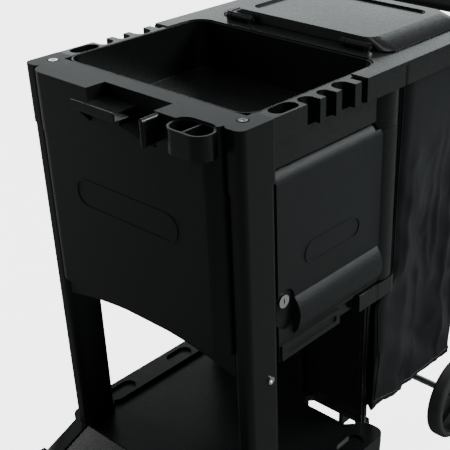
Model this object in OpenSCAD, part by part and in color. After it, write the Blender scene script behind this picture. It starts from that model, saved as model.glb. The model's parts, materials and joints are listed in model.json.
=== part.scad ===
// Housekeeping cart: lower deck on four wheels, locking cabinet with two side doors,
// top tray with tool holders, and a hooded waste bag with a hinged lid at the push handle.
// X runs across the cart, Y from the front platform to the handle, Z up from the floor.

/* [Cart] */
// Width across the rails of the lower deck
deck_w = 552; // [540:1:680]
// Width over the corner posts and the bag hood
body_w = 502; // [440:1:510]
// Height of the top rim above the floor
rim_z = 960; // [800:1:1160]
// Height of the lower deck above the floor
deck_z = 195; // [185:1:215]
// Length of the front platform with its ramp
platform_len = 384; // [330:1:470]
// Length of the cabinet section
body_len = 419; // [400:1:510]
// Length of the bag section behind the cabinet
bay_len = 281; // [240:1:340]
// How far the handle and the wheels reach past the bag section
reach = 86; // [80:1:105]

/* [Cabinet] */
// Height of the cabinet underside above the lower deck
leg_h = 353; // [290:1:430]
// Height of the front band of the top tray
band_h = 105; // [96:1:126]
// Wall of the moulded shells
wall = 4; // [3:0.5:5]
// Width of a front post
post_w = 36; // [30:1:44]
// Depth of a front post
post_d = 76; // [60:1:90]
// Radius of the rolled column at the door hinge
column_r = 36; // [32:1:42]
// Thickness of a door panel
door_t = 10; // [8:1:12]
// Gap between a door and what it closes against
door_gap = 3; // [2:0.5:5]
// Diameter of the hinge pins of the doors
door_pin_d = 10; // [8:1:14]

/* [Tray] */
// Depth of the bin in the top tray
bin_depth = 98; // [80:1:100]
// Width of the side decks beside the bin
side_deck_w = 38; // [34:1:44]
// How far the tool holder stands out from the front band
holder_reach = 32; // [26:1:40]
// Height of the tool holder
holder_h = 40; // [32:1:48]

/* [Bag] */
// Height of the bag bottom above the floor
bag_z = 214; // [210:1:240]
// Thickness of the bag vinyl
bag_t = 3; // [2:0.5:4]
// Height of the lid above the hood
lid_h = 19; // [15:1:26]
// Diameter of the lid hinge pins
lid_pin_d = 6; // [5:0.5:8]

/* [Wheels] */
// Diameter of the rear wheels
rear_d = 203; // [170:1:204]
// Width of a rear tyre
rear_w = 36; // [30:1:42]
// Diameter of the rear axle
axle_d = 16; // [12:1:20]
// Diameter of the front caster wheels
caster_d = 102; // [85:1:108]
// Width of a front caster wheel
caster_w = 30; // [24:1:34]
// Distance from the swivel axis to the caster wheel axis
caster_trail = 34; // [26:1:40]
// Diameter of the swivel pin
kingpin_d = 12; // [10:1:16]

/* [Hidden] */
$fn = 64;
run_gap = 0.05;

black = "#17191b";
dark = "#25282a";
textured = "#3a3d3f";
vinyl = "#1b1c1e";
steel = "#b9bcc0";
grey_rubber = "#4a4c4e";

// Lengthwise places, from the front plane of the posts
cart_len = platform_len + body_len + bay_len + reach;
post_y = platform_len - cart_len / 2;
hood_rear = body_len + bay_len;
axle_y = hood_rear + reach - rear_d / 2;
half_w = body_w / 2;
half_deck = deck_w / 2;

// Heights
cab_z = deck_z + leg_h;
band_z = rim_z - band_h;
bin_z = rim_z - bin_depth;
platform_z = deck_z - 36;
apron_h = 48;
block_h = 36;
floor_t = 8;

// Lower deck
deck_t = 14;
skirt_h = 40;
rail_w = 54;
rail_h = 9;
rail_front = 78;
rail_rear = body_len - 50;
deck_rear = body_len - 28;
ramp_len = 86;
platform_half = half_w + 2;
platform_r = 105;
bay_half = 168;
slot_y = [body_len - 76, body_len - 42];
slot_x = [64, 208];
panel_y = body_len - 41;
panel_half = half_w - 37;
panel_t = 14;

// Tray
tray_front_y = -19;
bin_front = 54;
bin_rear = body_len - column_r + 1;
bin_half = half_w - side_deck_w;
bin_r = column_r - 6;
hood_front = body_len - 119;
corner_len = 78;
rim_h = 40;
notches = [[148, 179], [193, 219], [233, 268]];
notch_depth = 26;
oval_y = [85, 142];
oval_r = 14.5;
screw_in = 30;
ledge_x = [-68, 34];
ledge_z = rim_z - 26;
recess_depth = 20;
cup_x = [138, half_w - 31];
cup_y = [tray_front_y - holder_reach, tray_front_y + 17];
cup_r = 24;
holder_top = rim_z - 3;
tray_screw_y = 37;
post_screw_y = 51;
post_screw_z = deck_z + 305;

// Cabinet and doors
panel_r = 28;
panel_front_y = tray_front_y + 1.5;
panel_z = cab_z + 14;
column_x = half_w - column_r;
column_y = body_len - column_r - 1;
door_face = half_w - 7;
door_front = post_d + 6;
door_top = bin_z + 6;
door_z = cab_z - 30;
step_z = cab_z + 2;
notch_y = [244, 301];
roll_z = [cab_z + 8, cab_z + 80];
roll_front = 121;
lock_y = 96;
lock_z = cab_z + 84;
lock_r = 9;
washer_t = 3;
cam_reach = post_w - 14;

// Hood, lid and handle
hood_t = 6;
hood_top = rim_z + 2;
hood_skirt = 42;
lid_half = half_w - 46;
lid_front = body_len + 6;
lid_rear = hood_rear - 22;
lid_axis_y = lid_front - 7;
lid_axis_z = hood_top + 7;
knuckle_r = 7;
knuckle_x = [117, 159];
mouth_half = lid_half - 22;
mouth_y = [lid_front + 24, lid_rear - 22];
grip_r = 14;
grip_y = hood_rear + reach - grip_r;
grip_z = rim_z + 2;
grip_half = half_w - 52;
arm = 16;

// Wheels
rear_x = half_deck - 2 - rear_w;
rear_z = rear_d / 2;
bracket_x = [-120, 120];
bolt_out = 20;
bolt_r = 3;
caster_x = 168;
caster_y = -platform_len + 92;
caster_z = caster_d / 2;
plate_z = platform_z - deck_t - 3;

module at_posts() {
    translate([0, post_y, 0]) children();
}

// Mirrors across the middle of the cart for the left side
module scale_x(s) {
    if (s < 0) mirror([1, 0, 0]) children();
    else children();
}

module right() { scale_x(1) children(); }
module left() { scale_x(-1) children(); }

// Flat outline with rounded corners, from corner (x0, y0) to corner (x1, y1)
module round_rect(x0, y0, x1, y1, r) {
    translate([x0 + r, y0]) square([x1 - x0 - 2 * r, y1 - y0]);
    translate([x0, y0 + r]) square([x1 - x0, y1 - y0 - 2 * r]);
    for (x = [x0 + r, x1 - r], y = [y0 + r, y1 - r])
        translate([x, y]) circle(r);
}

module round_block(x0, y0, x1, y1, r, z0, z1) {
    translate([0, 0, z0]) linear_extrude(z1 - z0) round_rect(x0, y0, x1, y1, r);
}

module block(x, y, z) {
    translate([x[0], y[0], z[0]]) cube([x[1] - x[0], y[1] - y[0], z[1] - z[0]]);
}

// Rod along X between x0 and x1
module x_rod(x0, x1, y, z, r) {
    translate([x0, y, z]) rotate([0, 90, 0]) cylinder(r = r, h = x1 - x0);
}

// Rod along Y between y0 and y1
module y_rod(x, y0, y1, z, r) {
    translate([x, y0, z]) rotate([-90, 0, 0]) cylinder(r = r, h = y1 - y0);
}

// Slot with round ends along Y, cut through in Z
module long_hole(x, y, r, z0, z1) {
    round_block(x - r, y[0], x + r, y[1], r - 0.01, z0, z1);
}

// ---- Lower deck ----

module deck_outline() {
    round_rect(-half_deck, 0, half_deck, rail_rear, 24);
    round_rect(-panel_half - 8, rail_rear - 80, panel_half + 8, deck_rear, 6);
}

module deck_slots() {
    mid = (slot_y[0] + slot_y[1]) / 2;
    nose = (slot_y[1] - slot_y[0]) / 2;
    for (s = [-1, 1])
        translate([0, 0, deck_z - 100]) linear_extrude(200)
            polygon([[s * slot_x[0], mid], [s * (slot_x[0] + nose), slot_y[0]],
                [s * (slot_x[1] - nose), slot_y[0]], [s * slot_x[1], mid],
                [s * (slot_x[1] - nose), slot_y[1]], [s * (slot_x[0] + nose), slot_y[1]]]);
}

module front_platform() {
    top = platform_z;
    difference() {
        round_block(-platform_half, -platform_len, platform_half, -ramp_len + platform_r,
            platform_r, top - deck_t, top + 12);
        round_block(-platform_half + 12, -platform_len + 12, platform_half - 12,
            -ramp_len + platform_r, platform_r - 12, top, top + 13);
        block([-half_deck, half_deck], [-ramp_len, 200], [top - 50, top + 50]);
    }
    // Skirt under the platform edge
    difference() {
        round_block(-platform_half, -platform_len, platform_half, -ramp_len + platform_r,
            platform_r, top - deck_t - 16, top - deck_t);
        round_block(-platform_half + 8, -platform_len + 8, platform_half - 8,
            -ramp_len + platform_r, platform_r - 8, top - deck_t - 17, top - deck_t);
        block([-half_deck, half_deck], [-ramp_len, 200], [top - 80, top + 50]);
    }
}

// Sloping sheet between the front platform and the deck, thicker at its two edges
module ramp() {
    side = 34;
    module strip(x0, x1, sink) {
        translate([x0, 0, 0]) rotate([90, 0, 90]) linear_extrude(x1 - x0)
            polygon([[-ramp_len, platform_z - deck_t], [-ramp_len, platform_z - sink],
                [0, deck_z - sink], [12, deck_z - sink], [12, deck_z - deck_t],
                [0, deck_z - deck_t - 12]]);
    }
    strip(-platform_half, -platform_half + side, 0);
    strip(platform_half - side, platform_half, 0);
    strip(-platform_half + side, platform_half - side, 3);
}

module lower_deck() {
    color(black) at_posts() {
        difference() {
            union() {
                translate([0, 0, deck_z - deck_t]) linear_extrude(deck_t) deck_outline();
                // Side rails
                for (s = [0, 1]) mirror([s, 0, 0])
                    round_block(half_deck - rail_w, rail_front, half_deck, rail_rear, 22,
                        deck_z - deck_t, deck_z + rail_h);
                // Skirt
                difference() {
                    round_block(-half_deck, 0, half_deck, rail_rear, 24,
                        deck_z - skirt_h, deck_z - deck_t);
                    round_block(-half_deck + 8, 8, half_deck - 8, rail_rear - 8, 16,
                        deck_z - skirt_h - 1, deck_z - deck_t);
                }
                // Long ribs under the deck
                for (s = [-1, 1])
                    block([s * 90 - 5, s * 90 + 5], [8, rail_rear - 8],
                        [deck_z - skirt_h, deck_z - deck_t]);
                // Narrow rear platform under the bag
                round_block(-bay_half, rail_rear - 8, bay_half, hood_rear + 4, 20,
                    deck_z - deck_t, deck_z);
                for (s = [-1, 1])
                    block([s * (bay_half - 14) - 5, s * (bay_half - 14) + 5],
                        [rail_rear - 8, hood_rear - 16],
                        [deck_z - skirt_h, deck_z - deck_t]);
            }
            deck_slots();
            // Oval pockets in the rails
            for (s = [0, 1], y = [[85, 155], [257, 323]]) mirror([s, 0, 0])
                round_block(half_deck - 49, y[0], half_deck - 12, y[1], 17,
                    deck_z + rail_h - 6, deck_z + rail_h + 1);
        }
        front_platform();
        ramp();
    }
}

// Upright wall that carries the cabinet and the tray behind the open bay
module rear_panel() {
    block_edge = half_w - 2 * column_r - 1;
    color(black) at_posts() difference() {
        union() {
            block([-panel_half, panel_half], [panel_y, panel_y + panel_t - 4],
                [deck_z, cab_z - floor_t]);
            for (x = [-panel_half + 8, -47, 47, panel_half - 8])
                block([x - 5, x + 5], [panel_y - 6, panel_y], [deck_z, cab_z - floor_t]);
        }
        // Room for the blocks under the door columns
        for (s = [0, 1]) mirror([s, 0, 0])
            block([block_edge, half_w], [panel_y - 10, body_len], [cab_z - block_h, cab_z]);
    }
}

// ---- Posts and cabinet ----

module front_post() {
    color(dark) at_posts() difference() {
        union() {
            round_block(half_w - post_w, 0, half_w, post_d, 13, deck_z, band_z);
            round_block(half_w - post_w - 2, 0, half_w + 1, post_d + 1, 13, deck_z, deck_z + 16);
        }
        round_block(half_w - post_w + wall, wall, half_w - wall, post_d - wall, 9,
            deck_z + 8, band_z + 1);
        x_rod(half_w - post_w - 1, half_w + 1, post_screw_y, post_screw_z, 3);
    }
}
module front_post_left() { left() front_post(); }
module front_post_right() { right() front_post(); }

// Front casing between the posts, with a plain raised badge and an arched apron
module front_panel() {
    side = half_w - post_w;
    apron_z = cab_z - apron_h;
    arch_r = 900;
    badge = [124, 26];
    color(dark) at_posts() {
        difference() {
            round_block(-side, panel_front_y, side, 60, panel_r, panel_z, band_z);
            round_block(-side + wall, panel_front_y + wall, side - wall, 62 + panel_r,
                panel_r - wall, panel_z - 1, band_z + 1);
            block([-side - 1, side + 1], [50, 120], [panel_z - 1, band_z + 1]);
        }
        difference() {
            block([-side, side], [6, 6 + wall], [apron_z, panel_z + wall]);
            translate([0, 0, cab_z - 8 - arch_r]) rotate([-90, 0, 0])
                cylinder(r = arch_r, h = 60, $fn = 128);
        }
        // Underside that joins the casing to the apron
        block([-side + panel_r, side - panel_r], [panel_front_y + wall - 1, 6 + 1],
            [panel_z, panel_z + wall]);
        // Blank badge, a low frame
        translate([0, panel_front_y + 0.5, band_z - 89]) rotate([90, 0, 0])
            linear_extrude(1.7) difference() {
                round_rect(-badge[0], -badge[1], badge[0], badge[1], badge[1] - 1);
                round_rect(-badge[0] + 3, -badge[1] + 3, badge[0] - 3, badge[1] - 3,
                    badge[1] - 4);
            }
    }
}

// Cabinet floor, with the strip below each door's rear part and a block under each column
module cabinet_floor() {
    side = door_face - door_t - door_gap;
    color(black) at_posts() difference() {
        union() {
            block([-side, side], [post_d, body_len - 3], [cab_z - floor_t, cab_z]);
            block([-side + 40, side - 40], [6 + wall, post_d], [cab_z - floor_t, cab_z]);
            for (s = [0, 1]) mirror([s, 0, 0]) {
                block([side - wall, side], [post_d, body_len - 70], [cab_z - 34, cab_z]);
                round_block(half_w - 2 * column_r, body_len - 78, half_w - 1, body_len, 20,
                    cab_z - block_h, cab_z);
                block([side - wall, half_w - 2], [notch_y[1], body_len - 40],
                    [cab_z - block_h, cab_z]);
            }
        }
        for (s = [-1, 1])
            translate([s * column_x, column_y, cab_z - 30])
                cylinder(d = door_pin_d, h = 60);
    }
}

module cabinet_back() {
    edge = column_x - column_r - 8;
    back = body_len - 14;
    color(dark) at_posts() {
        block([-edge, edge], [back - wall, back], [cab_z, bin_z]);
        for (s = [-1, 1])
            block([s * edge - 4, s * edge + 4], [back - 46, back], [cab_z, bin_z]);
        block([-edge - 4, edge + 4], [bin_rear, back], [bin_z, hood_top - hood_t]);
    }
}

// ---- Top tray ----

module tray_outline(inset) {
    side = half_w - post_w;
    round_rect(-side + inset, tray_front_y + inset, side - inset, bin_front, panel_r - inset);
    translate([-side, bin_front - 30]) square([2 * side, 30]);
    for (s = [0, 1]) mirror([s, 0])
        round_rect(side - 2 + inset, -2 + inset, half_w + 1 - inset,
            corner_len + 3 - inset, 14 - inset);
}

// Face of the recess behind the cloth ledge, grown by g on its sides and bottom
module recess_face(g, top) {
    step_x = 8;
    low = rim_z - 60;
    polygon([[ledge_x[0] + 2 - g, top], [ledge_x[0] + 2 - g, ledge_z + 3 - g],
        [step_x - g, ledge_z + 3 - g], [step_x - g, rim_z - 45 - g], [68, low - g],
        [92 + g, low - g], [92 + g, top]]);
}

// Front beam of the tray, an upside-down trough with a lined recess in its front
module tray_front() {
    color(dark) at_posts() difference() {
        union() {
            difference() {
                translate([0, 0, band_z]) linear_extrude(band_h) tray_outline(0);
                translate([0, 0, band_z - 1]) linear_extrude(band_h + 1 - wall)
                    tray_outline(wall);
                block([-bin_half + 1, bin_half - 1], [bin_front - 26, bin_front + 30],
                    [band_z - 1, rim_z - wall]);
            }
            translate([0, recess_depth + wall, 0]) rotate([90, 0, 0])
                linear_extrude(recess_depth + wall - tray_front_y - 1)
                    recess_face(wall, rim_z);
        }
        translate([0, recess_depth, 0]) rotate([90, 0, 0])
            linear_extrude(recess_depth - tray_front_y + 5) recess_face(0, rim_z + 1);
        // Room for the bin beside the post sleeves
        round_block(-bin_half - wall - 0.02, bin_front, bin_half + wall + 0.02, bin_rear,
            bin_r + wall, band_z - 1, rim_z + 1);
        // Pocket for the cups of the tool holder
        round_block(cup_x[0] - 0.3, cup_y[0], cup_x[1] + 0.3, cup_y[1] + 0.3, cup_r,
            holder_top - holder_h - 0.02, rim_z + 1);
        // Seats of the corner screws
        for (s = [-1, 1])
            translate([s * (half_w - screw_in), tray_screw_y, rim_z - 3])
                cylinder(r = 10, h = 4);
        for (s = [-1, 1])
            translate([s * (half_w - screw_in), tray_screw_y, rim_z - 20])
                cylinder(r = 3, h = 40);
        // Room for the side decks
        for (s = [0, 1]) mirror([s, 0, 0])
            block([bin_half + wall, half_w + 5], [corner_len - 6 + 0.01, corner_len + 30],
                [band_z - 1, rim_z + 1]);
    }
}

// Side deck with an oval hole, three tool notches and a lower band above the door
module tray_side() {
    y0 = corner_len - 6;
    inner = bin_half + wall;
    band_end = column_y - column_r - 1;
    color(black) at_posts() difference() {
        union() {
            block([inner, half_w - 14], [y0, hood_front], [rim_z - wall, rim_z]);
            round_block(inner, y0 - 30, half_w, hood_front, 8, rim_z - rim_h, rim_z);
            block([inner, half_w - 12], [y0, band_end], [door_top + 3, rim_z - rim_h]);
        }
        block([inner - 5, half_w + 5], [y0 - 40, y0], [door_top - 5, rim_z + 5]);
        // Hollow underside, with the walls of the notches left standing
        block([inner + wall, half_w - wall], [y0 + wall, notches[0][0] - wall],
            [rim_z - rim_h, rim_z - wall]);
        block([inner + wall, half_w - 12 - wall], [y0 + wall, band_end - wall],
            [door_top - 5, rim_z - rim_h - wall]);
        long_hole(half_w - 19, oval_y, oval_r, rim_z - 20, rim_z + 1);
        for (n = notches) {
            long_hole(half_w - notch_depth + 12, [n[0], n[1]], (n[1] - n[0]) / 2,
                rim_z - rim_h - 1, rim_z + 1);
            block([half_w - notch_depth + 12, half_w + 1], n, [rim_z - rim_h - 1, rim_z + 1]);
        }
        // Narrow slot beside the hood
        block([half_w - notch_depth, half_w + 1], [notches[2][1] + 17, hood_front - 4],
            [rim_z - rim_h - 1, rim_z + 1]);
    }
}
module tray_side_left() { left() tray_side(); }
module tray_side_right() { right() tray_side(); }

module tray_bin() {
    color(black) at_posts() difference() {
        round_block(-bin_half - wall, bin_front, bin_half + wall, bin_rear, bin_r + wall,
            bin_z, rim_z);
        round_block(-bin_half, bin_front + wall, bin_half, bin_rear - wall, bin_r,
            bin_z + wall, rim_z + 1);
    }
}

// Handle channel and two round-fronted cups, moulded on the front band
module tool_holder() {
    z0 = holder_top - holder_h;
    front = cup_y[0];
    wall_y = tray_front_y - 0.02;
    arm_x = 98;
    mid = (cup_x[0] + cup_x[1]) / 2;
    color(black) at_posts() {
        // Arm of the channel with a rolled front edge
        block([arm_x, arm_x + 5], [front, wall_y], [z0 - 2, holder_top]);
        y_rod(arm_x + 3, front - 3, wall_y, holder_top - 3, 5);
        translate([arm_x + 4, front, z0 - 2]) cylinder(r = 5, h = holder_h);
        // Cups, set into the band
        difference() {
            round_block(cup_x[0], front, cup_x[1], cup_y[1], cup_r, z0, holder_top);
            round_block(cup_x[0] + wall, front + wall, cup_x[1] - wall, cup_y[1] - wall,
                cup_r - wall, z0 + wall, holder_top + 1);
        }
        block([mid - 2, mid + 2], [front + wall - 1, cup_y[1] - wall + 1],
            [z0 + wall - 1, holder_top - 1]);
    }
}

// Shelf with an upturned lip for cloths, and a gusset below it
module cloth_ledge() {
    front = tray_front_y - 31;
    wall_y = tray_front_y - 0.02;
    rib_x = ledge_x[0] + 2;
    color(black) at_posts() {
        block(ledge_x, [front, wall_y], [ledge_z, ledge_z + 3]);
        block(ledge_x, [front, front + 3], [ledge_z, ledge_z + 16]);
        translate([rib_x, 0, 0]) rotate([90, 0, 90]) linear_extrude(4)
            polygon([[front + 3, ledge_z + 1], [wall_y, ledge_z + 1],
                [wall_y, ledge_z - 29]]);
    }
}

// ---- Doors ----

module door_shape() {
    inside = door_face - door_t;
    roll_h = roll_z[1] - roll_z[0];
    bulge = 14;
    roll_r = (roll_h * roll_h / 4 + bulge * bulge) / (2 * bulge);
    top_r = 26;
    back = column_y;
    difference() {
        union() {
            // Flat panel with its top edge rolled inwards
            block([inside, door_face], [door_front, back], [door_z, door_top - top_r]);
            intersection() {
                y_rod(door_face - top_r, door_front, back, door_top - top_r, top_r);
                block([inside - 5, door_face], [door_front, back],
                    [door_top - top_r, door_top]);
            }
            // Long half-round swelling
            intersection() {
                y_rod(door_face + bulge - roll_r, roll_front, back - 26,
                    (roll_z[0] + roll_z[1]) / 2, roll_r);
                block([inside, half_w + 20], [roll_front, back - 26], roll_z);
            }
            // Column around the hinge
            translate([column_x, column_y, cab_z + washer_t + 0.3])
                cylinder(r = column_r, h = band_z - cab_z - washer_t - 0.8);
            // Thicker lower edge in front of the finger notch
            block([inside, door_face + 4], [door_front + 4, notch_y[0]],
                [door_z, door_z + 30]);
        }
        // Finger notch and the step above the cabinet strip
        block([inside - 9, half_w + 30], [notch_y[0] + 12, body_len + 9],
            [door_z - 1, cab_z + 1]);
        x_rod(inside - 9, half_w + 30, notch_y[0] + 12, door_z, 12);
        block([inside - 20, half_w + 30], [notch_y[1] - 14, body_len + 9],
            [door_z - 1, cab_z + washer_t + 0.3]);
        // Room for the sleeve above the column
        block([inside - 20, half_w + 30], [column_y - column_r - door_gap, body_len + 9],
            [band_z - 0.5, door_top + 1]);
        // Hollow swelling and column
        translate([column_x, column_y, cab_z + 30])
            cylinder(r = column_r - 14, h = band_z - cab_z - 52);
        translate([column_x, column_y, cab_z - 9])
            cylinder(r = door_pin_d / 2 + run_gap, h = band_z - cab_z + 100);
        // Dished pocket round the lock
        translate([door_face - 5, 0, 0]) rotate([90, 0, 90]) linear_extrude(40)
            round_rect(lock_y - 17, lock_z - 56, lock_y + 27, lock_z + 20, 21.9);
        x_rod(inside - 9, half_w + 30, lock_y, lock_z, lock_r + 0.3);
        // Long grip groove
        translate([door_face + 1, 0, 0]) rotate([90, 0, 90]) linear_extrude(10)
            round_rect(100, door_z + 8, 234, door_z + 23, 7.4);
    }
    // Blank badge
    translate([door_face - 0.5, 0, 0]) rotate([90, 0, 90]) linear_extrude(2) difference() {
        round_rect(150, lock_z + 42, 300, lock_z + 84, 20.9);
        round_rect(153, lock_z + 45, 297, lock_z + 81, 17.9);
    }
}
module door_left() { color(textured) at_posts() left() door_shape(); }
module door_right() { color(textured) at_posts() right() door_shape(); }

module door_pins() {
    color(steel) at_posts() for (s = [-1, 1]) {
        translate([s * column_x, column_y, cab_z - 30]) cylinder(d = door_pin_d, h = 56);
        translate([s * column_x, column_y, band_z - 20]) cylinder(d = door_pin_d, h = 34);
    }
}

// Plastic washer between each column and the floor
module door_washers() {
    color(steel) at_posts() for (s = [-1, 1])
        translate([s * column_x, column_y, cab_z]) difference() {
            cylinder(r = door_pin_d / 2 + 6, h = washer_t);
            translate([0, 0, -1]) cylinder(r = door_pin_d / 2, h = 12);
        }
}

module lock_plug() {
    inside = door_face - door_t;
    color(steel) at_posts() difference() {
        union() {
            x_rod(inside - cam_reach, door_face - 2, lock_y, lock_z, lock_r);
            x_rod(door_face - 4.8, door_face + 1, lock_y, lock_z, lock_r + 3);
        }
        block([door_face - 5, door_face + 3], [lock_y - 1.2, lock_y + 1.2],
            [lock_z - 4.5, lock_z + 4.5]);
    }
}
module lock_left() { left() lock_plug(); }
module lock_right() { right() lock_plug(); }

// Flat steel tongue behind the door
module lock_cam() {
    inside = door_face - door_t;
    color(steel) at_posts() {
        x_rod(inside - cam_reach - 3, inside - cam_reach, lock_y, lock_z, lock_r);
        block([inside - cam_reach - 3, inside - cam_reach], [lock_y - 7, lock_y + 7],
            [lock_z, lock_z + 30]);
    }
}
module lock_cam_left() { left() lock_cam(); }
module lock_cam_right() { right() lock_cam(); }

// ---- Bag hood, lid and handle ----

module bag_hood() {
    z0 = hood_top - hood_t;
    color(black) at_posts() difference() {
        union() {
            round_block(-half_w - 1, hood_front, half_w + 1, hood_rear, 22, z0, hood_top);
            block([-half_w - 1, half_w + 1], [hood_front, hood_front + 40], [z0, hood_top]);
            // Skirt round the bag mouth
            difference() {
                round_block(-half_w - 1, body_len - 20, half_w + 1, hood_rear, 22,
                    hood_top - hood_skirt, z0);
                round_block(-half_w + 4, body_len - 30, half_w - 4, hood_rear - 5, 18,
                    hood_top - hood_skirt - 1, z0);
            }
            for (s = [0, 1]) mirror([s, 0, 0]) {
                block([half_w - 4, half_w + 1], [hood_front, body_len - 10],
                    [hood_top - hood_skirt, z0]);
                // Sleeve over the top of each door column
                translate([column_x, column_y, band_z])
                    cylinder(r = column_r, h = z0 - band_z);
            }
            // Hinge lugs
            for (s = [0, 1], x = knuckle_x) mirror([s, 0, 0])
                lug(x == knuckle_x[0] ? x - 11 : x + 1);
        }
        // Cut-out for the tray bin
        round_block(-bin_half - wall - 0.2, hood_front - 60, bin_half + wall + 0.2,
            bin_rear + 0.2, bin_r + wall, band_z, hood_top + 1);
        // Bag mouth
        round_block(-mouth_half, mouth_y[0], mouth_half, mouth_y[1], 30, z0 - 1, hood_top + 1);
        for (s = [-1, 1])
            translate([s * column_x, column_y, band_z - 1]) cylinder(d = door_pin_d, h = 16);
        x_rod(-200, 200, lid_axis_y, lid_axis_z, lid_pin_d / 2);
    }
}

module lug(x) {
    x_rod(x, x + 10, lid_axis_y, lid_axis_z, knuckle_r);
    block([x, x + 10], [lid_axis_y - knuckle_r, lid_axis_y + knuckle_r],
        [hood_top - 1, lid_axis_z]);
}

// Raised lid with sloping sides and a sunk top, on two knuckles
module bag_lid() {
    base = hood_top + 0.5;
    slope = 40;
    module dome(inset, z0, z1) {
        hull() {
            round_block(-lid_half + inset, lid_front + inset, lid_half - inset,
                lid_rear - inset, 24, z0, z0 + 2);
            round_block(-lid_half + slope + inset, lid_front + 3 + inset,
                lid_half - slope - inset, lid_rear - 14 - inset, 24, z1 - 1, z1);
        }
    }
    color(black) at_posts() {
        difference() {
            union() {
                dome(0, base, base + lid_h);
                // Knuckles
                for (s = [0, 1]) mirror([s, 0, 0]) {
                    x_rod(knuckle_x[0], knuckle_x[1], lid_axis_y, lid_axis_z,
                        knuckle_r - 0.4);
                    block(knuckle_x, [lid_axis_y, lid_front + 6],
                        [lid_axis_z - 3, lid_axis_z + knuckle_r - 1]);
                }
            }
            dome(4, base - 3, base + lid_h - 8);
            round_block(-lid_half + slope + 22, lid_front + 26, lid_half - slope - 22,
                lid_rear - 36, 20, base + lid_h - 4, base + lid_h + 1);
            x_rod(-200, 200, lid_axis_y, lid_axis_z, lid_pin_d / 2 + run_gap);
        }
    }
}

module lid_pins() {
    color(steel) at_posts() for (s = [0, 1]) mirror([s, 0, 0])
        x_rod(knuckle_x[0] - 11, knuckle_x[1] + 11, lid_axis_y, lid_axis_z, lid_pin_d / 2);
}

// Places of the bolts in the two flanges of the handle, facing backwards
module at_handle_bolts() {
    at_posts() for (s = [-1, 1], d = [-15, 15])
        translate([s * (grip_half - arm / 2) + d, hood_rear + 6, hood_top - 21])
            rotate([-90, 0, 0]) children();
}

// Two arms that carry the grip behind the hood
module handle_frame() {
    color(black) at_posts() for (s = [0, 1]) mirror([s, 0, 0]) {
        difference() {
            translate([grip_half - arm, 0, 0]) rotate([90, 0, 90]) linear_extrude(arm)
                polygon([[hood_rear, hood_top - 2], [hood_rear, hood_top - 40],
                    [grip_y - 4, grip_z - 20], [grip_y + 4, grip_z - 14],
                    [grip_y + 4, grip_z + 10], [grip_y - 14, grip_z + 10]]);
            x_rod(grip_half - arm - 1, grip_half + 1, grip_y, grip_z, grip_r - 2);
        }
        difference() {
            block([grip_half - arm - 14, grip_half + 14], [hood_rear, hood_rear + 6],
                [hood_top - 40, hood_top - 2]);
            for (d = [-15, 15])
                translate([grip_half - arm / 2 + d, hood_rear - 1, hood_top - 21])
                    rotate([-90, 0, 0]) cylinder(r = bolt_r, h = 10);
        }
    }
}

module handle_grip() {
    color(dark) at_posts() difference() {
        union() {
            x_rod(-grip_half - 8, grip_half + 8, grip_y, grip_z, grip_r - 2);
            x_rod(-grip_half + 16, grip_half - 16, grip_y, grip_z, grip_r);
            for (s = [0, 1]) mirror([s, 0, 0])
                x_rod(grip_half, grip_half + 8, grip_y, grip_z, grip_r);
        }
        x_rod(-grip_half - 5, grip_half + 5, grip_y, grip_z, grip_r - 6);
    }
}

// Vinyl bag hung inside the hood skirt, open at the top
module bag() {
    side = half_w - 6;
    low = cab_z - 44;
    module outline(inset) {
        round_rect(-side + inset, body_len + 2 + inset, side - inset,
            hood_rear - 8 - inset, 34 - inset);
    }
    module low_outline(inset) {
        outline(inset);
        round_rect(-side + inset, body_len - 22 + inset, side - inset, hood_rear - 60,
            18 - inset);
        for (s = [0, 1]) mirror([s, 0])
            round_rect(panel_half + 12 + inset, body_len - 42 + inset, side - inset,
                body_len + 60, 10 - inset);
    }
    color(vinyl) at_posts() difference() {
        union() {
            translate([0, 0, bag_z]) linear_extrude(low - bag_z) low_outline(0);
            translate([0, 0, low]) linear_extrude(hood_top - hood_t - 8 - low) outline(0);
        }
        translate([0, 0, bag_z + bag_t]) linear_extrude(low - bag_z - 2 * bag_t)
            low_outline(bag_t);
        translate([0, 0, bag_z + bag_t]) linear_extrude(rim_z) outline(bag_t);
    }
}

// Bent steel hooks that hold the bag hem up inside the hood
module bag_hooks() {
    z = hood_top - hood_t;
    side = half_w - 6;
    color(steel) at_posts() for (s = [-1, 1], y = [body_len + 60, hood_rear - 70]) {
        block([s * (side - bag_t - 2) - 2, s * (side - bag_t - 2) + 2], [y - 10, y + 10],
            [z - 26, z]);
    }
}

// ---- Rear wheels ----

module rear_axle() {
    color(steel) at_posts()
        x_rod(-half_deck + 3, half_deck - 3, axle_y, rear_z, axle_d / 2);
}

// Moulded saddles that hold the axle under the rear platform
module axle_brackets() {
    top = deck_z - deck_t;
    r = axle_d / 2 + 9;
    color(dark) at_posts() for (x = bracket_x) difference() {
        union() {
            x_rod(x - 10, x + 10, axle_y, rear_z, r);
            block([x - 10, x + 10], [axle_y - r, axle_y + r], [rear_z, top - 6]);
            block([x - 28, x + 28], [axle_y - r, axle_y + r], [top - 6, top]);
        }
        x_rod(x - 11, x + 11, axle_y, rear_z, axle_d / 2);
        for (d = [-bolt_out, bolt_out])
            translate([x + d, axle_y, top - 20]) cylinder(r = bolt_r, h = 40);
    }
}

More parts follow.
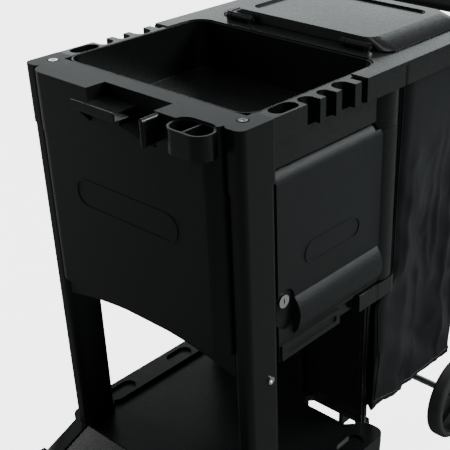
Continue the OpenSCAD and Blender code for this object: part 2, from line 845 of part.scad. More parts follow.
module rear_hub() {
    rim_r = rear_d / 2 - 15;
    mid = rear_x + rear_w / 2;
    color(dark) at_posts() difference() {
        union() {
            difference() {
                x_rod(rear_x + 3, rear_x + rear_w - 3, axle_y, rear_z, rim_r);
                x_rod(rear_x + 2, rear_x + rear_w - 2, axle_y, rear_z, rim_r - 6);
            }
            x_rod(mid - 4, mid + 4, axle_y, rear_z, rim_r - 1);
            x_rod(rear_x - 6, rear_x + rear_w - 4, axle_y, rear_z, axle_d / 2 + 9);
            for (a = [0:60:300])
                translate([mid - 11, axle_y, rear_z]) rotate([a, 0, 0])
                    translate([0, -3, 12]) cube([22, 6, rim_r - 16]);
        }
        x_rod(rear_x - 20, rear_x + rear_w + 20, axle_y, rear_z, axle_d / 2 + run_gap);
    }
}
module rear_hub_left() { left() rear_hub(); }
module rear_hub_right() { right() rear_hub(); }

module rear_tyre() {
    r = rear_d / 2;
    bead = r - 15;
    crown = 10;
    color(grey_rubber) at_posts() translate([rear_x, axle_y, rear_z]) rotate([0, 90, 0])
        rotate_extrude($fn = 96) difference() {
            union() {
                translate([bead, 0]) square([15 - crown, rear_w]);
                translate([bead, crown]) square([15, rear_w - 2 * crown]);
                for (h = [crown, rear_w - crown])
                    translate([r - crown, h]) circle(crown);
            }
            translate([bead - crown, -1]) square([crown, rear_w + 2]);
        }
}
module rear_tyre_left() { left() rear_tyre(); }
module rear_tyre_right() { right() rear_tyre(); }

// Push-on caps that keep the wheels on the axle
module axle_caps() {
    x = rear_x + rear_w - 3.6;
    color(steel) at_posts() for (s = [0, 1]) mirror([s, 0, 0]) difference() {
        x_rod(x, half_deck, axle_y, rear_z, axle_d / 2 + 4);
        x_rod(x - 1, half_deck - 3, axle_y, rear_z, axle_d / 2);
    }
}

// ---- Front casters ----

module at_caster() {
    at_posts() translate([caster_x, caster_y, 0]) children();
}

module caster_plate() {
    color(steel) at_caster() {
        difference() {
            block([-48, 48], [-40, 40], [plate_z, plate_z + 3]);
            for (x = [-36, 36], y = [-28, 28])
                translate([x, y, plate_z - 1]) cylinder(r = 4.2, h = 6);
        }
        translate([0, 0, plate_z - 14]) cylinder(d = kingpin_d, h = 15);
        translate([0, 0, plate_z - 17]) cylinder(d = kingpin_d + 6, h = 3);
        // Distance ring above the swivel race
        translate([0, 0, plate_z - 4]) cylinder(d = 40, h = 4);
    }
}
module caster_plate_left() { left() caster_plate(); }
module caster_plate_right() { right() caster_plate(); }

// Pressed fork that swivels on the pin of the plate
module caster_fork() {
    crown_z = plate_z - 4.3;
    half = caster_w / 2 + 3;
    color(steel) at_caster() difference() {
        union() {
            translate([0, 0, crown_z - 14]) cylinder(r = 24, h = 14);
            block([-half - 3, half + 3], [0, caster_trail], [crown_z - 14, crown_z - 10]);
            for (s = [0, 1]) mirror([s, 0, 0]) {
                translate([half, 0, 0]) rotate([90, 0, 90]) linear_extrude(3)
                    polygon([[-20, crown_z - 14], [-20, crown_z - 4], [24, crown_z - 4],
                        [caster_trail + 14, crown_z - 30], [caster_trail + 11, caster_z],
                        [caster_trail - 11, caster_z]]);
                x_rod(half, half + 3, caster_trail, caster_z, 11);
            }
        }
        translate([0, 0, crown_z - 30]) cylinder(r = kingpin_d / 2 + run_gap, h = 60);
        translate([0, 0, crown_z - 50]) cylinder(r = kingpin_d / 2 + 4, h = 41);
        x_rod(-60, 60, caster_trail, caster_z, 4);
    }
}
module caster_fork_left() { left() caster_fork(); }
module caster_fork_right() { right() caster_fork(); }

module caster_axle() {
    half = caster_w / 2 + 6;
    color(steel) at_caster() {
        x_rod(-half - 1, half + 1, caster_trail, caster_z, 4);
        for (s = [0, 1]) mirror([s, 0, 0])
            x_rod(half + 0.01, half + 5, caster_trail, caster_z, 7);
    }
}
module caster_axle_left() { left() caster_axle(); }
module caster_axle_right() { right() caster_axle(); }

module caster_wheel() {
    half = caster_w / 2;
    color(dark) at_caster() difference() {
        union() {
            x_rod(-half + 3, half - 3, caster_trail, caster_z, caster_d / 2 - 10);
            x_rod(-half - 2, half + 2, caster_trail, caster_z, 12);
        }
        for (s = [0, 1]) mirror([s, 0, 0]) difference() {
            x_rod(5, half + 1, caster_trail, caster_z, caster_d / 2 - 16);
            x_rod(4, half + 3, caster_trail, caster_z, 12);
        }
        x_rod(-60, 60, caster_trail, caster_z, 4 + run_gap);
    }
}
module caster_wheel_left() { left() caster_wheel(); }
module caster_wheel_right() { right() caster_wheel(); }

module caster_tyre() {
    r = caster_d / 2;
    bead = r - 10;
    crown = 8;
    color(grey_rubber) at_caster() translate([-caster_w / 2, caster_trail, caster_z])
        rotate([0, 90, 0]) rotate_extrude($fn = 96) difference() {
            union() {
                translate([bead, 0]) square([10 - crown, caster_w]);
                translate([bead, crown]) square([10, caster_w - 2 * crown]);
                for (h = [crown, caster_w - crown])
                    translate([r - crown, h]) circle(crown);
            }
            translate([bead - crown, -1]) square([crown, caster_w + 2]);
        }
}
module caster_tyre_left() { left() caster_tyre(); }
module caster_tyre_right() { right() caster_tyre(); }

// ---- Fasteners ----

// Round-headed screw with a cross recess, head up
module screw(head_r, head_h, shank_r, shank_h) {
    color(steel) difference() {
        union() {
            cylinder(r = head_r, h = head_h);
            translate([0, 0, -shank_h]) cylinder(r = shank_r, h = shank_h);
        }
        for (a = [0, 90]) rotate(a)
            translate([-head_r * 0.55, -0.8, head_h - 1.6]) cube([head_r * 1.1, 1.6, 2]);
    }
}

module tray_screws() {
    at_posts() for (s = [-1, 1])
        translate([s * (half_w - screw_in), tray_screw_y, rim_z - 3]) screw(8, 3.5, 3, 30);
}

module post_screws() {
    at_posts() for (s = [0, 1]) mirror([s, 0, 0])
        translate([half_w, post_screw_y, post_screw_z]) rotate([0, 90, 0])
            screw(7, 3, 3, post_w);
}

module caster_bolts() {
    for (s = [0, 1]) mirror([s, 0, 0]) at_caster() for (x = [-36, 36], y = [-28, 28])
        translate([x, y, plate_z]) rotate([180, 0, 0]) screw(7, 4, 4.2, 3);
}

module handle_bolts() {
    at_handle_bolts() screw(6, 4, bolt_r, 6);
}

module bracket_bolts() {
    at_posts() for (x = bracket_x, d = [-bolt_out, bolt_out])
        translate([x + d, axle_y, deck_z - deck_t - 6]) rotate([180, 0, 0])
            screw(6, 4, bolt_r, 6);
}

lower_deck();
rear_panel();
front_post_left();
front_post_right();
front_panel();
cabinet_floor();
cabinet_back();
tray_front();
tray_side_left();
tray_side_right();
tray_bin();
tool_holder();
cloth_ledge();
door_left();
door_right();
door_pins();
lock_left();
lock_right();
lock_cam_left();
lock_cam_right();
bag_hood();
bag_lid();
lid_pins();
handle_frame();
handle_grip();
bag();
bag_hooks();
rear_axle();
axle_brackets();
rear_hub_left();
rear_hub_right();
rear_tyre_left();
rear_tyre_right();
axle_caps();
caster_plate_left();
caster_plate_right();
caster_fork_left();
caster_fork_right();
caster_axle_left();
caster_axle_right();
caster_wheel_left();
caster_wheel_right();
caster_tyre_left();
caster_tyre_right();
tray_screws();
post_screws();
door_washers();
caster_bolts();
handle_bolts();
bracket_bolts();
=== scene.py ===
# %% [markdown]
# # A housekeeping cart
# The cart's hard parts are already made to size and come in as a fixed frame. This lesson
# gives them rounded edges and finishes, sews the bag, and lights the cart for a studio view.

# %% Load the frame
import json
import math

import bpy
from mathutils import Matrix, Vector, noise


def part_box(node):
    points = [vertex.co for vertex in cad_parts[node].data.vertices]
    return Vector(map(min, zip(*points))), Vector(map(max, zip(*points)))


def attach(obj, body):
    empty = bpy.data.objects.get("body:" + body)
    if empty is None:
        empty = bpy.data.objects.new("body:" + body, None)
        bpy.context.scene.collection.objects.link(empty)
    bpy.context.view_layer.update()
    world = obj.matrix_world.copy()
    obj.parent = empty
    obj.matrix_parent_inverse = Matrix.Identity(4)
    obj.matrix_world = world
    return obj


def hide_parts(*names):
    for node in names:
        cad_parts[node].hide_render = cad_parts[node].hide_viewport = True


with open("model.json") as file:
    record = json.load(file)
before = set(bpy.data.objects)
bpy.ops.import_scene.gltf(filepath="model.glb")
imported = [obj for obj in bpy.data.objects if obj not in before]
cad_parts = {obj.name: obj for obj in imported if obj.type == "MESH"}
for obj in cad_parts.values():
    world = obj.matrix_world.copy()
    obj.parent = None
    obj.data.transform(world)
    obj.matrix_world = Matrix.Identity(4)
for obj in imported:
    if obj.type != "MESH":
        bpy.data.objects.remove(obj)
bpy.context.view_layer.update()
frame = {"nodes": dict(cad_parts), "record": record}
nodes = frame["nodes"]
body_of = {}
for body_name, members in frame["record"]["behaviour"]["bodies"].items():
    for member in members:
        body_of[member] = body_name

# %% [markdown]
# ## The camera
# A short lens close by could frame the same corner, but it would swell the near post. A long
# lens from further off keeps the posts nearly parallel, and its picture is shifted to frame
# the corner. Its distance is counted from the front of the posts and moves with them.

# %% Place the camera
MM = 0.001
SENSOR_MM = 36
LENS_MM = 77.2
SHIFT_X, SHIFT_Y = -0.177, 0.0995
FROM_POSTS = (1.1372, -0.9225, 1.4687)
TILT, TURN = 60.166, 39.805

post_low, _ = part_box("front_post_right")
post_front = Vector((0, post_low.y, 0))

lens = bpy.data.cameras.new("studio_camera")
lens.sensor_width = SENSOR_MM
lens.lens = LENS_MM
lens.shift_x = SHIFT_X
lens.shift_y = SHIFT_Y
camera = bpy.data.objects.new("studio_camera", lens)
bpy.context.scene.collection.objects.link(camera)
camera.location = post_front + Vector(FROM_POSTS)
camera.rotation_euler = (math.radians(TILT), 0, math.radians(TURN))
bpy.context.scene.camera = camera
print("camera at", tuple(round(v, 3) for v in camera.location))

# %% [markdown]
# ## Studio light and floor
# Black plastic shows hardly any colour of its own. What the eye reads is the reflection of
# the room. Lamps could light it, but they leave small hard spots on gloss, so wide soft
# panels are used and the room is kept dim. One stands behind the cart, where level faces
# seen from above mirror it. The strongest is high at the right rear. The backdrop and the
# floor glow for the camera only, so they look white and lend the black parts little light.

# %% Lights, sky and floor
COOL_WHITE = (0.92, 1.0, 1.0)
ROOM_TONE = (0.15, 0.158, 0.16, 1)
WHITE_GLOW = 4.2
FLOOR_SIZE = 14
# The sockets of a colour Mix node are reached by number
MIX_MASK, MIX_FIRST, MIX_SECOND, MIX_RESULT = 0, 6, 7, 2


def soft_panel(name, place, aim, size, power, tint=(1, 1, 1)):
    light = bpy.data.lights.new(name, "AREA")
    light.shape = "RECTANGLE"
    light.size, light.size_y = size
    light.energy = power
    light.color = tint
    panel = bpy.data.objects.new(name, light)
    bpy.context.scene.collection.objects.link(panel)
    panel.location = place
    panel.rotation_euler = (Vector(aim) - Vector(place)).to_track_quat("-Z", "Y").to_euler()
    return panel


soft_panel("panel_behind", place=(-3.2, 3.85, 2.15), aim=(0, 0.3, 0.95), size=(4.0, 0.9),
    power=25, tint=COOL_WHITE)
soft_panel("panel_overhead", place=(0.5, 0.6, 3.4), aim=(0, 0, 0.6), size=(2.2, 1.8), power=17)
soft_panel("panel_left", place=(-3.2, -0.6, 1.6), aim=(0, 0, 0.6), size=(0.5, 2.2), power=45)
soft_panel("panel_right", place=(2.3, 2.7, 3.1), aim=(0.25, 0, 0.85), size=(1.7, 1.5),
    power=125, tint=COOL_WHITE)

world = bpy.data.worlds.new("studio")
world.use_nodes = True
sky = world.node_tree.nodes["Background"]
seen = world.node_tree.nodes.new("ShaderNodeLightPath")
backdrop = world.node_tree.nodes.new("ShaderNodeMix")
backdrop.data_type = "RGBA"
backdrop.inputs[MIX_FIRST].default_value = ROOM_TONE
backdrop.inputs[MIX_SECOND].default_value = (WHITE_GLOW, WHITE_GLOW, WHITE_GLOW, 1)
world.node_tree.links.new(seen.outputs["Is Camera Ray"], backdrop.inputs[MIX_MASK])
world.node_tree.links.new(backdrop.outputs[MIX_RESULT], sky.inputs["Color"])
bpy.context.scene.world = world

bpy.ops.object.select_all(action="DESELECT")
bpy.ops.mesh.primitive_plane_add(size=FLOOR_SIZE, location=(0, 0, 0))
floor = bpy.context.object
floor.name = "studio_floor"

# %% [markdown]
# ## A little shader language
# Every finish is a node tree. It could be wired node by node, but then the sum it works out
# is hard to see. A small class wraps a socket, and its plus and times signs add the Math
# nodes, so that a finish reads as sums and products.

# %% Finish and Wire
class Wire:
    """An output socket that can be used in sums."""

    def __init__(self, finish, socket):
        self.finish = finish
        self.socket = socket

    def maths(self, operation, first, second):
        return self.finish.node("ShaderNodeMath", {"operation": operation}, {0: first, 1: second})

    def __add__(self, other):
        return self.maths("ADD", self, other)

    def __radd__(self, other):
        return self.maths("ADD", other, self)

    def __mul__(self, other):
        return self.maths("MULTIPLY", self, other)

    def __rmul__(self, other):
        return self.maths("MULTIPLY", other, self)


class Finish:
    """A material with one Principled shader, and short calls that feed it."""

    def __init__(self, name, colour, rough, metal=0.0, **constants):
        self.material = bpy.data.materials.new(name)
        self.material.use_nodes = True
        self.material.diffuse_color = (*colour, 1)
        self.tree = self.material.node_tree
        self.shader = self.tree.nodes["Principled BSDF"]
        self.feed("Base Color", (*colour, 1))
        self.feed("Roughness", rough)
        self.feed("Metallic", metal)
        for socket, value in constants.items():
            self.feed(socket.replace("_", " "), value)
        self.place = self.node("ShaderNodeTexCoord", output="Object")

    def node(self, kind, settings=None, inputs=None, output=0):
        made = self.tree.nodes.new(kind)
        for key, value in (settings or {}).items():
            setattr(made, key, value)
        for key, value in (inputs or {}).items():
            if isinstance(value, Wire):
                self.tree.links.new(value.socket, made.inputs[key])
            else:
                made.inputs[key].default_value = value
        return Wire(self, made.outputs[output])

    def feed(self, socket, value):
        if isinstance(value, Wire):
            self.tree.links.new(value.socket, self.shader.inputs[socket])
        else:
            self.shader.inputs[socket].default_value = value

    def specks(self, per_metre, detail=3.0, stretch=(1, 1, 1), roughness=0.5):
        """Cloudy noise from 0 to 1 with that many blots to the metre."""
        spread = self.node("ShaderNodeMapping", {}, {"Vector": self.place, "Scale": stretch})
        return self.node("ShaderNodeTexNoise", {}, {"Vector": spread, "Scale": per_metre,
            "Detail": detail, "Roughness": roughness})

    def cells(self, per_metre):
        """Rounded cells like leather grain."""
        return self.node("ShaderNodeTexVoronoi", {"feature": "SMOOTH_F1"},
            {"Vector": self.place, "Scale": per_metre, "Smoothness": 0.6}, output="Distance")

    def between(self, mask, low, high):
        """A value that runs from low to high with the mask."""
        return self.node("ShaderNodeMapRange", {}, {"Value": mask, "To Min": low, "To Max": high})

    def tint(self, mask, dark, light):
        return self.node("ShaderNodeMix", {"data_type": "RGBA"},
            {MIX_MASK: mask, MIX_FIRST: (*dark, 1), MIX_SECOND: (*light, 1)}, output=MIX_RESULT)

    def bump(self, height, depth_mm, strength=1.0):
        made = self.node("ShaderNodeBump", {}, {"Height": height, "Distance": depth_mm * MM,
            "Strength": strength})
        self.feed("Normal", made)


print("a Finish can make:", ", ".join(k for k in vars(Finish) if not k.startswith("_")))

# %% [markdown]
# ## Moulded plastic
# A mould leaves its own skin: a fine spark-eroded grain, faint flow clouds in the gloss and
# hair-fine handling scratches. An image could carry them, but it would need unwrapping and
# would show its seams. Noise in the part's own space has no seams and keeps its scale. Tone
# and gloss vary slowly, the bump varies quickly. The doors have a coarser, pebbled skin.

# %% The plastic finishes
def shades(tone, shares):
    """Red, green and blue as shares of one tone."""
    return tuple(tone * share for share in shares)


def moulded(name, tone, rough, grain=0.05, grain_size=900, specular=0.35):
    finish = Finish(name, shades(tone, (1, 1.06, 1.08)), rough, Specular_IOR_Level=specular)
    clouds = finish.specks(5, detail=4)
    scuffs = finish.specks(70, detail=6, stretch=(1, 1, 0.25), roughness=0.7)
    fine = finish.specks(grain_size, detail=2)
    finish.feed("Base Color", finish.tint(clouds, shades(tone, (0.85, 0.9, 0.92)),
        shades(tone, (1.25, 1.33, 1.35))))
    finish.feed("Roughness", finish.between(clouds * 0.5 + scuffs * 0.5, rough - 0.07,
        rough + 0.09))
    finish.bump(fine + scuffs * 0.6, grain)
    return finish.material


def grained(name, tone, rough):
    finish = Finish(name, shades(tone, (1, 1.08, 1.1)), rough, Specular_IOR_Level=0.4)
    leather = finish.cells(620)
    fine = finish.specks(1500, detail=2)
    draw = finish.specks(60, detail=3, stretch=(1, 1, 0.06), roughness=0.6)
    pebbles = finish.specks(430, detail=2, roughness=0.7)
    finish.feed("Base Color", finish.tint(draw * 0.4 + pebbles * 0.6,
        shades(tone, (0.45, 0.5, 0.52)), shades(tone, (1.5, 1.62, 1.65))))
    finish.feed("Roughness", finish.between(leather, rough - 0.08, rough + 0.12))
    finish.bump(leather * 0.5 + pebbles * 1.4 + fine * 0.4 + draw * 0.3, 0.5)
    return finish.material


PLASTIC = {
    "black_plastic": moulded("gloss black moulding", tone=0.0075, rough=0.26, grain=0.02,
        grain_size=700, specular=0.5),
    "satin_plastic": moulded("satin black moulding", tone=0.009, rough=0.36, grain=0.03),
    "panel_plastic": moulded("satin front panel", tone=0.0095, rough=0.44, grain_size=1100),
    "grained_plastic": grained("grained door", tone=0.016, rough=0.42),
    "grip_plastic": moulded("soft grip", tone=0.010, rough=0.55, grain=0.08, grain_size=1200),
    "washer_plastic": moulded("washer plastic", tone=0.05, rough=0.4),
}
print("plastics:", ", ".join(PLASTIC))

# %% [markdown]
# ## Metal, rubber and vinyl
# Chrome is nearly a mirror with a little haze. Zinc plate is greyer and cloudier, so one
# function makes both and only its colour, roughness and haze differ. Tyre rubber is dull
# and picks up dust. The bag's coated cloth has a soft sheen over a fine emboss, and its
# small creases are bump, because the folds you can see from afar are modelled.

# %% The other finishes
def metal(name, colour, rough, haze):
    finish = Finish(name, colour, rough, 1.0)
    clouds = finish.specks(60, detail=4)
    lines = finish.specks(400, detail=2, stretch=(1, 1, 0.1))
    finish.feed("Roughness", finish.between(clouds * 0.6 + lines * 0.4, rough, rough + haze))
    finish.feed("Base Color", finish.tint(clouds, tuple(c * 0.85 for c in colour), colour))
    finish.bump(lines, 0.008)
    return finish.material


def rubber(name):
    finish = Finish(name, (0.05, 0.05, 0.052), 0.75)
    dust = finish.specks(35, detail=5)
    fine = finish.specks(900, detail=2)
    finish.feed("Base Color", finish.tint(dust, (0.03, 0.03, 0.032), (0.085, 0.083, 0.08)))
    finish.feed("Roughness", finish.between(dust, 0.6, 0.9))
    finish.bump(fine + dust * 0.5, 0.08)
    return finish.material


def coated_cloth(name):
    finish = Finish(name, (0.009, 0.0097, 0.011), 0.42, Specular_IOR_Level=0.36)
    clouds = finish.specks(9, detail=4)
    emboss = finish.cells(900)
    creases = finish.specks(26, detail=5, stretch=(1, 1, 0.5), roughness=0.6)
    finish.feed("Base Color", finish.tint(clouds, (0.0065, 0.007, 0.008), (0.013, 0.014, 0.0156)))
    finish.feed("Roughness", finish.between(clouds * 0.5 + creases * 0.5, 0.32, 0.52))
    finish.bump(emboss * 0.12 + creases, 0.9, 0.5)
    return finish.material


OTHER = {
    "bright_chrome": metal("bright chrome", (0.8, 0.81, 0.82), rough=0.08, haze=0.12),
    "zinc_steel": metal("zinc plate", (0.55, 0.56, 0.58), rough=0.25, haze=0.2),
    "tyre_rubber": rubber("grey tyre rubber"),
    "bag_vinyl": coated_cloth("black bag vinyl"),
}
FINISH = {**PLASTIC, **OTHER}
slot_of = {row["node"]: row["material_slot"] for row in frame["record"]["subparts"]}
for name, part in nodes.items():
    part.data.materials.clear()
    part.data.materials.append(FINISH[slot_of[name]])

floor_paint = Finish("pale studio paper", (0.3, 0.3, 0.3), 0.9, Emission_Strength=WHITE_GLOW,
    Specular_IOR_Level=0.1)
paper = floor_paint.specks(3, detail=3)
seen_floor = floor_paint.node("ShaderNodeLightPath", output="Is Camera Ray")
floor_paint.feed("Base Color", floor_paint.tint(paper, (0.29, 0.29, 0.29), (0.32, 0.32, 0.32)))
floor_paint.feed("Emission Color", floor_paint.tint(seen_floor, (0, 0, 0), (1, 1, 1)))
floor.data.materials.append(floor_paint.material)
print("finishes on", len(nodes), "parts")

# %% [markdown]
# ## Rounded edges
# No moulded edge is sharp, and a sharp edge catches no light. A bump could fake the rounding,
# but the outline would stay sharp. So each large moulding is copied, the copy's loose
# triangles are merged, and a bevel rounds its edges. The copy then stands for the part. The
# normals are weighted by area, so that big flat faces stay flat.

# %% Round the mouldings
WELD = 0.000002
COPLANAR = math.radians(0.5)
EDGE_ANGLE = math.radians(32)
SMOOTH_ANGLE = math.radians(30)
EDGE_SEGMENTS = 2
AREA_WEIGHT = 100


def only(obj):
    bpy.ops.object.select_all(action="DESELECT")
    obj.select_set(True)
    bpy.context.view_layer.objects.active = obj


def apply_all(obj):
    only(obj)
    for modifier in list(obj.modifiers):
        bpy.ops.object.modifier_apply(modifier=modifier.name)


def rounded(name, width_mm):
    source = nodes[name]
    copy = source.copy()
    copy.data = source.data.copy()
    copy.name = name + "_moulded"
    bpy.context.scene.collection.objects.link(copy)
    for key in list(copy.keys()):
        if key.startswith("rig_"):
            del copy[key]
    copy.parent = None
    only(copy)
    bpy.ops.object.mode_set(mode="EDIT")
    bpy.ops.mesh.select_all(action="SELECT")
    bpy.ops.mesh.remove_doubles(threshold=WELD)
    bpy.ops.mesh.dissolve_limited(angle_limit=COPLANAR, delimit={"NORMAL"})
    bpy.ops.object.mode_set(mode="OBJECT")
    bevel = copy.modifiers.new("edges", "BEVEL")
    bevel.width = width_mm * MM
    bevel.segments = EDGE_SEGMENTS
    bevel.limit_method = "ANGLE"
    bevel.angle_limit = EDGE_ANGLE
    bevel.use_clamp_overlap = True
    apply_all(copy)
    bpy.ops.object.shade_smooth_by_angle(angle=SMOOTH_ANGLE)
    even = copy.modifiers.new("even", "WEIGHTED_NORMAL")
    even.keep_sharp = True
    even.weight = AREA_WEIGHT
    apply_all(copy)
    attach(copy, body_of[name])
    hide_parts(name)
    return copy


# The width of each part's rounding, in millimetres
ROUNDING = {"tray_front": 1.5, "tool_holder": 1.2, "cloth_ledge": 0.8, "front_panel": 1.2,
    "front_post_left": 1.0, "front_post_right": 1.0, "tray_bin": 1.5, "bag_hood": 1.8,
    "tray_side_left": 1.5, "tray_side_right": 1.5, "lower_deck": 2.0, "cabinet_floor": 1.5,
    "door_left": 1.5, "door_right": 1.5, "bag_lid": 1.5, "handle_frame": 1.5,
    "rear_panel": 1.0}
for name, width_mm in ROUNDING.items():
    piece = rounded(name, width_mm)
    print(piece.name, len(piece.data.polygons), "faces")

# %% [markdown]
# ## The waste bag
# The bag is a tube of coated cloth, hung from the hooks under the hood and closed below. It
# could be five flat panels, but those read as boards. A cloth simulation would fold it
# well, but takes time at every run. Here one rule says where each bit of the cloth hangs,
# starting from a ring that is a rounded rectangle, measured along its edge.

# %% The ring
CORNER = 0.032


def eased(value, start, end):
    t = min(1, max(0, (value - start) / (end - start)))
    return t * t * (3 - 2 * t)


def ring_point(share, left, right, front, rear, radius):
    """Point and outward direction at that share of the way round a rounded rectangle."""
    width, depth = right - left - 2 * radius, rear - front - 2 * radius
    bend = math.pi * radius / 2
    travel = (share % 1) * (2 * width + 2 * depth + 4 * bend)
    corners = ((right - radius, rear - radius, 0), (left + radius, rear - radius, 90),
        (left + radius, front + radius, 180), (right - radius, front + radius, 270))
    for (x, y, turn), side in zip(corners, (width, depth, width, depth)):
        if travel < bend:
            angle = math.radians(turn) + travel / radius
            return (x + radius * math.cos(angle), y + radius * math.sin(angle),
                math.cos(angle), math.sin(angle))
        travel -= bend
        out = math.radians(turn + 90)
        if travel < side:
            return (x + radius * math.cos(out) - travel * math.sin(out),
                y + radius * math.sin(out) + travel * math.cos(out),
                math.cos(out), math.sin(out))
        travel -= side
    return (right, rear - radius, 1, 0)


bag_low, bag_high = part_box("bag")
print("bag is", round(bag_high.x - bag_low.x, 3), "wide and", round(bag_high.z - bag_low.z, 3), "deep")

# %% [markdown]
# ## How the cloth hangs
# The top hangs straight from the hooks, the walls belly in where the bag is empty, and slack
# gathers in folds further down. Under the cabinet floor the cloth has room to come forward
# to the low rear panel, and beside that panel it comes further forward still. Each effect has
# its own named length in metres, so that it can be made stronger or left out. In the noise,
# the numbers by x, y and z say how tight the folds are along each axis.

# %% Where the cloth is
WALL_ROOM = 0.002
CABINET_ROOM = 0.046
UNDER_CABINET = 0.022
BESIDE_PANEL = 0.034
BELLY = 0.009
LONG_FOLDS = 0.012
CROSS_FOLDS = 0.009
CREASES = 0.007
PLEATS = 0.005
FOOT = 0.016
SINK = 0.009
_, panel_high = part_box("rear_panel")


def hang(share, drop):
    """Where the cloth is at that share round the ring and that share of the way down."""
    z = bag_high.z + (bag_low.z - bag_high.z) * drop
    under = 1 - eased(z, panel_high.z - 0.055, panel_high.z + 0.01)
    front = bag_low.y + CABINET_ROOM - UNDER_CABINET * under
    x, y, out_x, out_y = ring_point(share, bag_low.x + WALL_ROOM, bag_high.x - WALL_ROOM, front,
        bag_high.y - WALL_ROOM, CORNER)
    beside = eased(abs(x), panel_high.x + 0.004, panel_high.x + 0.022)
    below = 1 - eased(z, panel_high.z - 0.075, panel_high.z - 0.04)
    if y < front + 0.06:
        y -= BESIDE_PANEL * below * beside * eased(front + 0.06 - y, 0, 0.045)
    belly = BELLY * math.sin(math.pi * min(1, drop * 1.05)) ** 2
    slack = eased(drop, 0.08, 0.55)
    long_fold = noise.noise((x * 9, y * 9, z * 1.6))
    cross_fold = noise.noise((x * 5 + 40, y * 16 + z * 15, z * 6 - y * 9))
    crease = abs(noise.noise((x * 15, y * 15 + 9, z * 11 - x * 9))) ** 0.7
    # Pleats are sharp ridges that stand out a little between the folds
    pleat = (1 - abs(noise.noise((x * 21, y * 21, z * 2.2 + 5)))) ** 5
    ease_in = belly + slack * (LONG_FOLDS * (0.5 + long_fold) + CROSS_FOLDS * (0.5 + cross_fold)
        + CREASES * crease) - PLEATS * pleat * slack
    foot = FOOT * eased(drop, 0.965, 1.0) ** 2
    inward = max(0.0, ease_in) + foot
    # The empty bag sinks most half way back
    sink = SINK * eased(drop, 0.5, 1.0) * math.sin(math.pi * eased(y, bag_low.y, bag_high.y))
    return x - out_x * inward, y - out_y * inward, z - sink


print("the cloth starts at", tuple(round(v, 3) for v in hang(0, 0)))

# %% [markdown]
# ## Draw the tube
# A circle is extruded down once and the upright edges are cut into rows. The bottom edge is
# then drawn inwards ring by ring and closed with one face. It could be lofted from a list of
# points, but this way every face is made by the same few moves as by hand.

# %% Extrude the tube and close it
AROUND = 264
DOWN = 92
BOTTOM_RINGS = (0.94, 0.88, 0.82, 0.75, 0.66, 0.5)

bpy.ops.object.select_all(action="DESELECT")
bpy.ops.mesh.primitive_circle_add(vertices=AROUND, radius=1, location=(0, 0, 0))
bag = bpy.context.object
bag.name = "bag_cloth"
bpy.ops.object.mode_set(mode="EDIT")
bpy.ops.mesh.select_all(action="SELECT")
bpy.ops.mesh.extrude_region_move(TRANSFORM_OT_translate={"value": (0, 0, -1)})
bpy.ops.mesh.select_mode(type="EDGE")
bpy.ops.mesh.select_all(action="DESELECT")
bpy.ops.object.mode_set(mode="OBJECT")
for edge in bag.data.edges:
    ends = [bag.data.vertices[i].co.z for i in edge.vertices]
    edge.select = abs(ends[0] - ends[1]) > 0.5
bpy.ops.object.mode_set(mode="EDIT")
bpy.ops.mesh.subdivide(number_cuts=DOWN - 1)
bpy.ops.mesh.select_all(action="DESELECT")
bpy.ops.object.mode_set(mode="OBJECT")
for edge in bag.data.edges:
    edge.select = all(bag.data.vertices[i].co.z < -0.999 for i in edge.vertices)
bpy.ops.object.mode_set(mode="EDIT")
for shrink in BOTTOM_RINGS:
    bpy.ops.mesh.extrude_region_move()
    bpy.ops.transform.resize(value=(shrink, shrink, 1), center_override=(0, 0, -1))
bpy.ops.mesh.edge_face_add()
bpy.ops.object.mode_set(mode="OBJECT")
print("tube of", len(bag.data.vertices), "points")

# %% [markdown]
# ## Hang it and give it a thickness
# Each point's angle says how far round the ring it is, and its height how far down. A point
# inside the bottom is drawn towards the middle, and the bottom dips there. A sheet has no
# thickness and would not be closed, so Solidify gives the cloth its own.

# %% Hang the cloth
CLOTH = 0.0016
BOTTOM_DIP = 0.004
BOTTOM_RIPPLE = 0.0015
middle_y = (bag_low.y + bag_high.y) / 2 + 0.01
for vertex in bag.data.vertices:
    spread = math.hypot(vertex.co.x, vertex.co.y)
    share = math.atan2(vertex.co.y, vertex.co.x) / (2 * math.pi)
    x, y, z = hang(share, -vertex.co.z)
    if spread < 0.999:
        sag = 0.5 + 0.5 * math.cos(math.pi * spread)
        x, y = x * spread, middle_y + (y - middle_y) * spread
        z += BOTTOM_DIP - BOTTOM_DIP * sag + BOTTOM_RIPPLE * noise.noise((x * 14, y * 14, 3))
    vertex.co = (x, y, z)
thick = bag.modifiers.new("cloth", "SOLIDIFY")
thick.thickness = CLOTH
thick.offset = -1
apply_all(bag)
bpy.ops.object.mode_set(mode="EDIT")
bpy.ops.mesh.select_all(action="SELECT")
bpy.ops.mesh.normals_make_consistent(inside=False)
bpy.ops.object.mode_set(mode="OBJECT")
bpy.ops.object.shade_smooth()
bag.data.materials.append(FINISH["bag_vinyl"])
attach(bag, "cart")
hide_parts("bag")
print("bag cloth", len(bag.data.polygons), "faces")

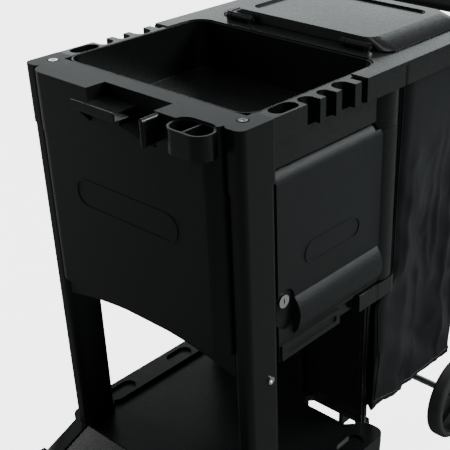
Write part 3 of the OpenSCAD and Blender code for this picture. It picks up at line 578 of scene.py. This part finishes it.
# %% [markdown]
# ## Piping on the bag
# A cord of the same vinyl is sewn into the seams: one down each corner and one round the
# bottom. Extruding the cloth's own edges would make it square, so a curve with a round
# bevel is used and then made a mesh. It follows the hanging cloth and waves where that does.

# %% Sew the piping
PIPING_RADIUS = 0.0017
SEARCH = 720
SEAM_TOP, SEAM_RUN, SEAM_STEPS = 0.03, 0.93, 80
LOW_SEAM, LOW_STEPS = 0.962, 240


def piping(name, path, closed):
    curve = bpy.data.curves.new(name, "CURVE")
    curve.dimensions = "3D"
    curve.bevel_depth = PIPING_RADIUS
    curve.bevel_resolution = 2
    curve.use_fill_caps = True
    line = curve.splines.new("POLY")
    line.points.add(len(path) - 1)
    for point, place in zip(line.points, path):
        point.co = (*place, 1)
    line.use_cyclic_u = closed
    made = bpy.data.objects.new(name, curve)
    bpy.context.scene.collection.objects.link(made)
    only(made)
    bpy.ops.object.convert(target="MESH")
    made = bpy.context.object
    bpy.ops.object.shade_smooth()
    made.data.materials.append(FINISH["bag_vinyl"])
    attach(made, "cart")
    return made


# A corner seam runs where the ring faces most nearly along the diagonal
best = {}
for step in range(SEARCH):
    x, y, out_x, out_y = ring_point(step / SEARCH, bag_low.x, bag_high.x,
        bag_low.y + CABINET_ROOM, bag_high.y, CORNER)
    key = (x > 0, y > middle_y)
    slant = abs(abs(out_x) - abs(out_y))
    if slant < best.get(key, (9, 0))[0]:
        best[key] = (slant, step / SEARCH)
for number, (_, share) in enumerate(best.values(), start=1):
    path = [hang(share, SEAM_TOP + SEAM_RUN * i / SEAM_STEPS) for i in range(SEAM_STEPS + 1)]
    piping("bag_seam_%d" % number, path, closed=False)
piping("bag_seam_low", [hang(i / LOW_STEPS, LOW_SEAM) for i in range(LOW_STEPS)], closed=True)
print("seams:", len(best) + 1)

# %% [markdown]
# ## Size
# The finishes and the bag must not make the cart outgrow its frame.
